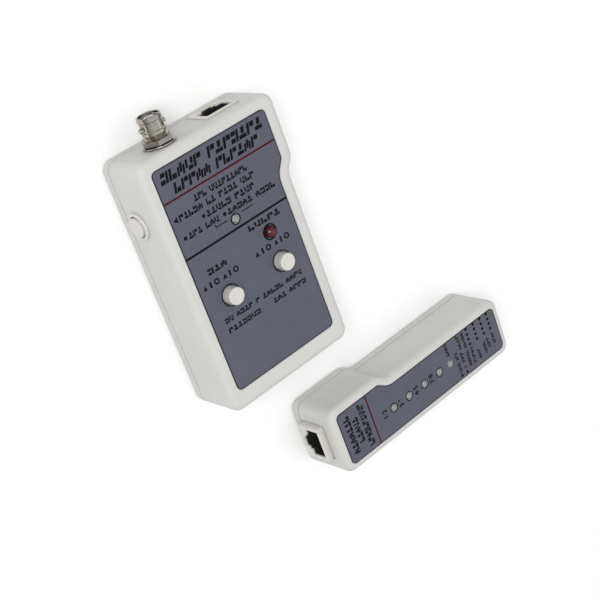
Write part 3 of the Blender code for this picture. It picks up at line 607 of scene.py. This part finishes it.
def print_main_label(panel, lamp_at, red_at, power_at, ground_at):
    dice = random.Random(7)
    left, head, waist = panel["left"], panel["head"], panel["waist"]
    # The line round the label's edge is painted shade of the gap at its recess, not print.
    ink_and_shade = recess_shade_line(panel, 0.04, 0.30)
    ink_and_shade += blocks_line(dice, -24.8, 25.2, 42.6, 4.3, (5, 7), 0.25, 0.90)
    ink_and_shade += blocks_line(dice, -20.8, 20.8, 37.3, 4.0, (5, 6), 0.25, 0.90)
    ink_and_shade += blocks_line(dice, -14.8, 11.6, 30.1, 2.5, (3, 9))
    ink_and_shade += blocks_line(dice, -23.6, 13.6, 26.3, 2.5, (5, 2, 4, 3))
    ink_and_shade.append([(-26.4, 26.3), (-24.4, 25.1), (-24.4, 27.5)])
    ink_and_shade.append(dot(-13.6, 22.3, 0.8))
    ink_and_shade += blocks_line(dice, -12.2, 12.0, 22.3, 2.5, (5, 4))
    ink_and_shade.append(dot(-24.2, 18.5, 0.8))
    ink_and_shade += blocks_line(dice, -22.6, -7.6, 18.5, 2.4, (3, 3))
    ink_and_shade.append(dot(-4.9, 18.5, 0.8))
    ink_and_shade += blocks_line(dice, -3.4, 21.0, 18.5, 2.4, (5, 4))
    lamp_x, lamp_y = lamp_at
    for side in (-1, 1):
        near, far = sorted((lamp_x + side * 3.6, lamp_x + side * 9.4))
        ink_and_shade.append(bar(near, far, lamp_y + 1.2, 0.38))
    outer_left = lamp_x - 9.4
    ink_and_shade.append(bar(outer_left, outer_left + 0.38, lamp_y + 1.7, 1.3))
    # The black rings round the two lamps' holes are painted shade, not print.
    ink_and_shade += hoop(lamp_x, lamp_y, 2.35, 1.86)
    ink_and_shade += hoop(*red_at, 3.35, 2.76)
    ink_and_shade.append(bar(left + 0.4, waist - 0.4, 10.9, 0.9))
    ink_and_shade += blocks_line(dice, red_at[0] - 8.7, red_at[0] + 7.9, 8.0, 2.4, (5,))
    ink_and_shade += blocks_line(dice, ground_at[0] - 5.8, ground_at[0] + 3.8, 2.0, 2.5, (3,))
    for x, y in (power_at, ground_at):
        row = y + 8.0
        # The ring round each button's hole is painted shade; the marks after it are print.
        ink_and_shade += hoop(x, y, 4.5, 4.05)
        ink_and_shade.append(triangle(x - 9.4, row, 2.0))
        ink_and_shade.append(bar(x - 7.1, x - 6.1, row, 2.4))
        ink_and_shade += hoop(x - 3.6, row, 1.3, 0.65)
        ink_and_shade.append(triangle(x + 0.4, row, 2.0))
        ink_and_shade.append(bar(x + 2.6, x + 3.4, row, 2.4))
        ink_and_shade += hoop(x + 6.0, row, 1.3, 0.65)
    ink_and_shade += blocks_line(dice, -21.8, 18.4, -18.8, 2.1, (2, 4, 1, 5, 4))
    ink_and_shade += blocks_line(dice, -21.8, -5.2, -23.0, 2.1, (7,))
    ink_and_shade += blocks_line(dice, 1.4, 19.0, -23.0, 2.1, (3, 4))
    printed("main_label_ink_and_painted_shade", ink_and_shade, MAIN, INK_AND_SHADE_BLACK)
    printed("main_label_red_line", [bar(left + 0.4, head - 0.4, 33.7, 0.7)], MAIN, INK_RED)


def digits(name, unit, legends, size):
    """Numerals as flat meshes, one object for all: legends are (text, x, y)."""
    high = local_box(unit["tag"] + "_label", unit)[5]
    joined = bmesh.new()
    for text, x, y in legends:
        curve = bpy.data.curves.new("numeral", "FONT")
        curve.body = text
        curve.size = size * MM
        curve.align_x = "CENTER"
        curve.align_y = "CENTER"
        curve.extrude = INK / 2 * MM
        curve.offset = 0.10 * MM
        drawn = bpy.data.objects.new("numeral", curve)
        bpy.context.scene.collection.objects.link(drawn)
        bpy.context.view_layer.update()
        graph = bpy.context.evaluated_depsgraph_get()
        mesh = bpy.data.meshes.new_from_object(drawn.evaluated_get(graph))
        mesh.transform(Matrix.Translation((x * MM, y * MM, (high + INK / 2) * MM)))
        joined.from_mesh(mesh)
        bpy.data.objects.remove(drawn, do_unlink=True)
        bpy.data.meshes.remove(mesh)
    bmesh.ops.remove_doubles(joined, verts=joined.verts, dist=1e-7)
    return hand_over(link(name, joined), unit, INK_AND_SHADE_BLACK)


def print_remote_label(panel, lamps):
    dice = random.Random(11)
    ink_and_shade = recess_shade_line(panel, 0.04, 0.26)
    ink_and_shade += blocks_line(dice, -8.8, 9.6, 43.9, 3.3, (7,))
    ink_and_shade += blocks_line(dice, -5.6, 6.4, 39.8, 3.0, (5,))
    ink_and_shade += blocks_line(dice, -9.8, 10.6, 35.4, 3.2, (10,))
    pairs = ("1 2", "3 6", "4 5", "7 8")
    legends = []
    for text, (x, y) in zip(pairs, lamps):
        legends.append((text, x, y + 5.2))
        ink_and_shade.append(dot(x, y + 5.2, 0.28))
        # A black ring round each lamp's hole: painted shade, not print.
        ink_and_shade += hoop(x, y, 2.20, 1.86)
    shield_x, shield_y = lamps[-1]
    ink_and_shade += blocks_line(dice, shield_x + 3.6, shield_x + 9.8, shield_y - 0.2, 1.7, (4,))
    rows = (-20.8, -24.1, -27.2, -30.2)
    ink_and_shade.append(dot(-10.6, rows[0], 0.7))
    ink_and_shade += blocks_line(dice, -9.2, 1.2, rows[0], 1.6, (4, 3))
    ink_and_shade.append(dot(-10.6, rows[1], 0.7))
    ink_and_shade += blocks_line(dice, -5.6, 8.0, rows[1], 1.6, (3, 4))
    ink_and_shade += blocks_line(dice, -9.4, 7.6, rows[2], 1.6, (5, 5))
    ink_and_shade += blocks_line(dice, -9.4, -1.4, rows[3], 1.6, (5,))
    table = (-30.2, -34.9, -39.4, -43.8)
    for y in table:
        for column in range(4):
            ink_and_shade.append(dot(2.45 * column, y, 0.72))
    ink_and_shade += blocks_line(dice, -9.4, -4.4, table[1] + 1.2, 1.5, (4,))
    ink_and_shade += blocks_line(dice, -9.0, -3.0, table[2] + 1.6, 1.5, (4,))
    ink_and_shade += blocks_line(dice, -7.8, -2.6, table[2] - 1.0, 1.5, (4,))
    ink_and_shade += blocks_line(dice, -7.6, -2.0, table[3], 1.5, (4,))
    printed("remote_label_ink_and_painted_shade", ink_and_shade, REMOTE, INK_AND_SHADE_BLACK)
    printed("remote_label_red_line", [bar(panel["left"] + 0.4, panel["head"] - 0.4, 31.3, 0.6)],
            REMOTE, INK_RED)
    printed("remote_label_mark", [dot(-8.0, rows[1], 0.7)], REMOTE, INK_BROWN)
    digits("remote_label_numerals", REMOTE, legends, 3.4)


# ------------------------------------------------------------------ sockets
def plug_outline(x, grow):
    """The stepped opening of a modular jack, in X and Z, grown outwards by grow."""
    half, step, notch = 6.3 + grow, 3.7 + grow, 2.4 + grow
    top, shoulder, second, low = 17.8 + grow, 10.2 - grow, 8.8 - grow, 7.4 - grow
    return [(x - half, top), (x - half, shoulder), (x - step, shoulder), (x - step, second),
            (x - notch, second), (x - notch, low), (x + notch, low), (x + notch, second),
            (x + step, second), (x + step, shoulder), (x + half, shoulder), (x + half, top)]


def modular_jack(unit):
    """Ivory jack, black inside its opening as painted shade, and eight gilt springs under its roof.
    """
    tag = unit["tag"]
    node = tag + "_rj45_housing"
    x0, x1, y0, y1, z0, z1 = local_box(node, unit)
    x = (x0 + x1) / 2
    housing = block(tag + "_jack_housing", x0, x1, y0, y1, z0, z1)
    soften(housing, 0.45, 3)
    carve(housing, slab("opening", plug_outline(x, 0.0), y1 - 13.0, y1 + 1.0, "Y"))
    soften(housing, 0.14, 2, 50)
    hand_over(housing, unit, JACK, nodes=[node])

    # A black sleeve inside the opening: painted shade, darker than the lit hollow of the ivory
    # housing would be.
    shade_lining = slab(tag + "_jack_painted_shade_lining", plug_outline(x, -0.03), y1 - 12.9, y1 - 0.7, "Y")
    carve(shade_lining, slab("hollow", plug_outline(x, -0.4), y1 - 12.3, y1 + 1.0, "Y"))
    hand_over(shade_lining, unit, BLACK_AND_SHADE)

    springs = bmesh.new()
    path = ((-1.5, 16.75), (-2.3, 16.8), (-3.2, 16.62), (-10.4, 15.62), (-11.2, 15.75),
            (-11.9, 16.3))
    half = 0.2
    for number in range(8):
        middle_x = x + (number - 3.5) * 1.02
        rings = []
        for reach, height in path:
            rings.append([springs.verts.new(((middle_x + side_x * half) * MM,
                                             (y1 + reach) * MM, (height + side_z * 0.14) * MM))
                          for side_x, side_z in ((-1, -1), (1, -1), (1, 1), (-1, 1))])
        springs.faces.new(rings[0])
        springs.faces.new(rings[-1][::-1])
        for first, second in zip(rings, rings[1:]):
            for k in range(4):
                springs.faces.new((first[k], second[k], second[(k + 1) % 4],
                                   first[(k + 1) % 4]))
    hand_over(link(tag + "_jack_springs", springs), unit, GOLD,
              nodes=[tag + "_rj45_contacts"])


def bnc_socket():
    """Nickel barrel with two bayonet lugs, a hexagon nut, a washer and its core."""
    x, _, z = local_middle("bnc_shell", MAIN)
    wall = local_box("main_front_shell", MAIN)[3]
    tip = local_box("bnc_shell", MAIN)[3] - wall
    centre = (x, wall, z)
    thread = [(4.68 if k % 2 == 0 else 4.34, 4.5 - 0.28 * k) for k in range(24)]
    barrel = [(4.1, tip - 0.25), (4.3, tip), (4.6, tip), (4.78, tip - 0.2), (4.78, tip - 1.9),
              (4.6, tip - 2.15), (4.45, tip - 2.2), (4.45, 6.5), (4.6, 6.4), (4.78, 6.2),
              (4.78, 5.0), (4.7, 4.9), (4.36, 4.8)]
    rear = [(6.3, -2.3), (6.4, -2.4), (6.4, -4.3), (6.3, -4.4), (4.2, -4.4), (4.2, -7.5),
            (2.6, -7.5), (2.6, 3.0), (4.05, 3.0)]
    bore = [(4.05, tip - 4.0), (3.9, tip - 3.8), (3.9, tip - 1.2), (4.1, tip - 0.9)]
    shell = lathe("bnc_barrel", barrel + thread + rear + bore, centre, "Y", 96, closed=True)
    lugs = []
    for axis in ("X", "-X"):
        lugs.append(lathe("lug", rounded([(0.0, 5.75, 0), (1.0, 5.75, 0.3), (1.0, 4.3, 0),
                                          (0.0, 4.3, 0)], 4, closed=False),
                          (x, wall + LUG_REACH, z), axis, 28))
    carve(shell, *lugs, operation="UNION")
    hand_over(shell, MAIN, NICKEL, nodes=["bnc_shell"])

    core = lathe("bnc_core", rounded([(1.15, tip - 0.9, 0.1), (2.3, tip - 0.9, 0.3),
                                      (2.3, -7.2, 0.1), (1.15, -7.2, 0.1)], 4), centre, "Y",
                 48, closed=True)
    hand_over(core, MAIN, PTFE, nodes=["bnc_insulator"])
    pin = lathe("bnc_pin_socket", [(0.0, 6.0), (0.45, 6.0), (0.45, tip - 1.2),
                                   (0.6, tip - 1.1), (0.75, tip - 1.1), (0.85, tip - 1.25),
                                   (0.85, -10.0), (0.0, -10.0)], centre, "Y", 32)
    slits = [block("slit", x - 0.09, x + 0.09, wall + tip - 4.0, wall + tip, z - 2, z + 2),
             block("slit", x - 2, x + 2, wall + tip - 4.0, wall + tip, z - 0.09, z + 0.09)]
    carve(pin, *slits)
    hand_over(pin, MAIN, GOLD, nodes=["bnc_centre_contact"])

    hexagon = [(6.55 * cos(radians(60 * k)), 6.55 * sin(radians(60 * k))) for k in range(6)]
    nut = slab("bnc_hex_nut", [(x + a, z + b) for a, b in hexagon], wall + 1.3, wall + 3.25,
               "Y")
    chamfer = lathe("chamfer", [(0.0, 3.3), (5.85, 3.3), (6.6, 2.85), (6.6, 1.3), (0.0, 1.3)],
                    centre, "Y", 72)
    carve(nut, chamfer, operation="INTERSECT")
    carve(nut, rod("bore", centre, 4.85, 0.0, 5.0, "Y"))
    soften(nut, 0.1, 2, 30)
    hand_over(nut, MAIN, NICKEL_DARK_REFLECTIONS, nodes=["bnc_nut"])

    washer = lathe("bnc_lock_washer", rounded([(6.65, 0.95, 0.12), (6.65, 0.3, 0.12),
                                               (5.0, 0.3, 0.1), (5.0, 0.95, 0.1)], 3), centre,
                   "Y", 72, closed=True)
    hand_over(washer, MAIN, NICKEL, nodes=["bnc_washer"])


# ------------------------------------------------------------------ buttons and lamps
def push_button(node):
    """A round cap with a shallow dish and a rounded edge."""
    x, y, _ = local_middle(node, MAIN)
    z0, z1 = local_box(node, MAIN)[4:]
    dish = [(0.0, z1 - 0.30), (1.0, z1 - 0.27), (1.8, z1 - 0.14), (2.4, z1 - 0.02)]
    edge = rounded([(2.4, z1, 0), (CAP_RADIUS, z1, 0.55), (CAP_RADIUS, z0 + 6.7, 0)], 8,
                   closed=False)
    rest = [(5.0, z0 + 6.7), (5.0, z0 + 4.9), (1.75, z0 + 4.9), (1.75, z0), (0.0, z0)]
    cap = lathe(node + "_cap", dish + edge + rest, (x, y, 0.0), "Z", 72)
    hand_over(cap, MAIN, CAP, node, [node])


def test_button():
    """The button on the left wall and the collar that it sits in."""
    _, y, z = local_middle("bnc_test_button", MAIN)
    side = local_box("main_front_shell", MAIN)[0]
    centre = (side, y, z)
    reach = side - local_box("bnc_test_button", MAIN)[0]
    profile = [(0.0, reach - 0.12), (2.2, reach - 0.06)]
    profile += rounded([(2.8, reach, 0), (4.0, reach, 0.5), (4.0, -3.0, 0)], 8, closed=False)
    profile += [(4.7, -3.0), (4.7, -4.0), (1.7, -4.0), (1.7, -9.4), (0.0, -9.4)]
    cap = lathe("bnc_test_button_cap", profile, centre, "-X", 72)
    hand_over(cap, MAIN, CAP, "bnc_test_button", ["bnc_test_button"])
    collar = lathe("bnc_test_collar", rounded([
        (4.4, 1.0, 0.25), (5.7, 1.0, 0.55), (5.7, 0.12, 0.05), (4.8, 0.12, 0.05),
        (4.8, -2.3, 0.1), (4.4, -2.3, 0.1)], 5), centre, "-X", 72, closed=True)
    hand_over(collar, MAIN, CAP, nodes=["bnc_test_bezel"])


def lamp(node, unit, radius, shoulder, paint):
    """A domed lens on two tinned legs, with its cup and anvil inside."""
    x, y, _ = local_middle(node, unit)
    z0, z1 = local_box(node, unit)[4:]
    rise = z1 - shoulder
    dome = [(radius * sin(k * pi / 20), shoulder + rise * cos(k * pi / 20))
            for k in range(11)]
    lens = lathe(node + "_lens", dome + [(radius, LAMP_BASE + 0.8),
                                         (radius + 0.38, LAMP_BASE + 0.8),
                                         (radius + 0.38, LAMP_BASE), (0.0, LAMP_BASE)],
                 (x, y, 0.0), "Z", 48)
    hand_over(lens, unit, paint, nodes=[node])
    inside = bmesh.new()
    parts = ((-0.28, 0.30, 0.6, 3.4), (0.30, 0.12, 0.6, 3.0))
    for place, half, low, high in parts:
        grow = Matrix.Diagonal((half * radius * MM, 0.36 * radius * MM, (high - low) * MM, 1.0))
        move = Matrix.Translation(((x + place * radius) * MM, y * MM,
                                   (LAMP_BASE + (low + high) / 2) * MM))
        bmesh.ops.create_cube(inside, size=1.0, matrix=move @ grow)
    pitch = min(1.27, radius - 0.6)
    for side in (-1, 1):
        grow = Matrix.Diagonal((0.5 * MM, 0.5 * MM, (LAMP_BASE - z0) * MM, 1.0))
        move = Matrix.Translation(((x + side * pitch) * MM, y * MM, (LAMP_BASE + z0) / 2 * MM))
        bmesh.ops.create_cube(inside, size=1.0, matrix=move @ grow)
    hand_over(link(node + "_leads", inside), unit, TIN)


def screws(unit):
    """Pan-head screws with a cross recess, seen in the back's sunk holes."""
    for name, (x, y, _) in screw_places(unit).items():
        z0, z1 = local_box(name, unit)[4:]
        profile = [(0.0, z1), (0.35, z1 - 0.05), (1.15, z1 - 1.8)]
        turns = int((z1 - 1.8 - 1.4) / 0.5)
        for k in range(turns):
            profile += [(1.2, z1 - 1.95 - 0.5 * k), (0.92, z1 - 2.2 - 0.5 * k)]
        profile += [(1.1, 1.25)]
        profile += rounded([(1.1, 1.2, 0), (2.6, 1.2, 0.12), (2.6, 0.5, 0.35), (2.1, z0, 0.4),
                            (0.0, z0, 0)], 4, closed=False)[1:]
        piece = lathe(name + "_steel", profile, (x, y, 0.0), "Z", 48)
        carve(piece, *[slab("slot", rounded([(x - a, y - b, 0.1), (x + a, y - b, 0.1),
                                             (x + a, y + b, 0.1), (x - a, y + b, 0.1)], 3),
                            -1.0, 0.85) for a, b in ((1.45, 0.3), (0.3, 1.45))])
        hand_over(piece, unit, STEEL, nodes=[name])


# ------------------------------------------------------------------ pieces kept from CAD
KEPT = {
    "main_circuit_board": BOARD, "remote_circuit_board": BOARD, "power_switch": BLACK_AND_SHADE,
    "ground_switch": BLACK_AND_SHADE, "bnc_test_switch": BLACK_AND_SHADE, "counter_chip": BLACK_AND_SHADE,
    "timer_chip": BLACK_AND_SHADE, "smoothing_capacitor": BLACK_AND_SHADE, "main_resistor_network": BLACK_AND_SHADE,
    "remote_resistor_network": BLACK_AND_SHADE, "remote_diode_array": BLACK_AND_SHADE, "battery_snap": BLACK_AND_SHADE,
    "battery_9v": BATTERY_CAN, "battery_wire_red": WIRE_RED, "battery_wire_black": WIRE_BLACK,
    "bnc_signal_wire": PTFE,
}


def paint_kept():
    """Give the inner pieces, which keep their CAD shape, their real finishes."""
    for name, paint in KEPT.items():
        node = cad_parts[name]
        if not node.material_slots:
            node.data.materials.append(paint)
        for slot in node.material_slots:
            slot.material = paint


# ------------------------------------------------------------------ floor, light, camera
def make_floor():
    floor = slab("floor", [(-1500, -1500), (1500, -1500), (1500, 1500), (-1500, 1500)], -8.0,
                 -0.1)
    floor.data.materials.append(mottled("pale_floor", (0.95, 0.95, 0.95), (0.93, 0.93, 0.93),
                                        3.0, 0.85, 0.95))


def area_light(name, place, aim, size, power):
    light = bpy.data.lights.new(name, "AREA")
    light.shape = "DISK"
    light.size = size
    light.energy = power
    lamp_object = bpy.data.objects.new(name, light)
    lamp_object.location = place
    toward = Vector(aim) - Vector(place)
    lamp_object.rotation_euler = toward.to_track_quat("-Z", "Y").to_euler()
    bpy.context.scene.collection.objects.link(lamp_object)


def make_world():
    """A studio that is bright overhead and darker towards the horizon."""
    world = bpy.data.worlds.new("studio")
    world.use_nodes = True
    nodes, links = world.node_tree.nodes, world.node_tree.links
    direction = nodes.new("ShaderNodeTexCoord")
    parts = nodes.new("ShaderNodeSeparateXYZ")
    links.new(direction.outputs["Generated"], parts.inputs["Vector"])
    fade = nodes.new("ShaderNodeMapRange")
    fade.inputs["To Min"].default_value = 0.24
    fade.inputs["To Max"].default_value = 1.10
    links.new(parts.outputs["Z"], fade.inputs["Value"])
    links.new(fade.outputs["Result"], nodes["Background"].inputs["Strength"])
    nodes["Background"].inputs["Color"].default_value = (1.0, 1.0, 1.0, 1.0)
    bpy.context.scene.world = world


def make_light():
    make_world()
    target = (0.03, -0.03, 0.01)
    area_light("key", (-0.55, 0.30, 0.75), target, 0.45, 4.4)
    area_light("fill", (0.60, -0.50, 0.60), target, 0.80, 0.7)
    bpy.context.scene.view_settings.view_transform = "Standard"


CAMERA_PLACE = Vector((-0.2570, 0.1894, 0.4532))
CAMERA_ROLL = 101.5    # degrees: the view is turned until the label's rows climb to the right
VIEW_HEADING = 129.0   # from +Y towards +X
VIEW_DROP = 50.9       # below the horizon


def make_camera():
    heading, drop = radians(VIEW_HEADING), radians(VIEW_DROP)
    ahead = Vector((sin(heading) * cos(drop), cos(heading) * cos(drop), -sin(drop)))
    lens = bpy.data.cameras.new("camera")
    lens.sensor_width = 36.0
    lens.lens = 84.0
    camera = bpy.data.objects.new("camera", lens)
    turn = ahead.to_track_quat("-Z", "Y") @ Matrix.Rotation(radians(CAMERA_ROLL), 4,
                                                           "Z").to_quaternion()
    camera.matrix_world = Matrix.Translation(CAMERA_PLACE) @ turn.to_matrix().to_4x4()
    bpy.context.scene.collection.objects.link(camera)
    bpy.context.scene.camera = camera


# ------------------------------------------------------------------ the whole tester
def make_main_unit():
    case = read_case(MAIN)
    panel = read_label(MAIN)
    red_at = local_middle("power_lamp", MAIN)[:2]
    lamp_at = local_middle("bnc_lamp", MAIN)[:2]
    power_at = local_middle("power_button", MAIN)[:2]
    ground_at = local_middle("ground_button", MAIN)[:2]
    top_holes = [(*red_at, RED_LAMP_HOLE), (*lamp_at, SMALL_LAMP_HOLE), (*power_at, CAP_HOLE),
                 (*ground_at, CAP_HOLE)]
    bnc_x, _, bnc_z = local_middle("bnc_shell", MAIN)
    _, test_y, test_z = local_middle("bnc_test_button", MAIN)
    wall_holes = [((bnc_x, case["top"], bnc_z), BNC_HOLE, "Y"),
                  ((case["left"], test_y, test_z), TEST_BUTTON_HOLE, "-X")]
    front_casing(MAIN, case, panel, top_holes, wall_holes)
    back_casing(MAIN, case, cover_tools(case))
    battery_cover(case)
    label_film(MAIN, panel, [(x, y, radius + 0.1) for x, y, radius in top_holes])
    print_main_label(panel, lamp_at, red_at, power_at, ground_at)
    modular_jack(MAIN)
    bnc_socket()
    push_button("power_button")
    push_button("ground_button")
    test_button()
    lamp("power_lamp", MAIN, RED_LAMP_RADIUS, 26.0, RED_LENS)
    lamp("bnc_lamp", MAIN, SMALL_LAMP_RADIUS, 25.2, CLEAR_LENS)
    screws(MAIN)


def make_remote_unit():
    case = read_case(REMOTE)
    panel = read_label(REMOTE)
    names = [f"remote_lamp_{number}" for number in range(1, 6)]
    lamps = [local_middle(name, REMOTE)[:2] for name in names]
    front_casing(REMOTE, case, panel, [(x, y, SMALL_LAMP_HOLE) for x, y in lamps], [])
    back_casing(REMOTE, case)
    label_film(REMOTE, panel, [(x, y, 1.8) for x, y in lamps])
    print_remote_label(panel, lamps)
    modular_jack(REMOTE)
    for name in names:
        lamp(name, REMOTE, SMALL_LAMP_RADIUS, 25.2, CLEAR_LENS)
    screws(REMOTE)


make_floor()
make_light()
make_camera()
make_main_unit()
make_remote_unit()
paint_kept()
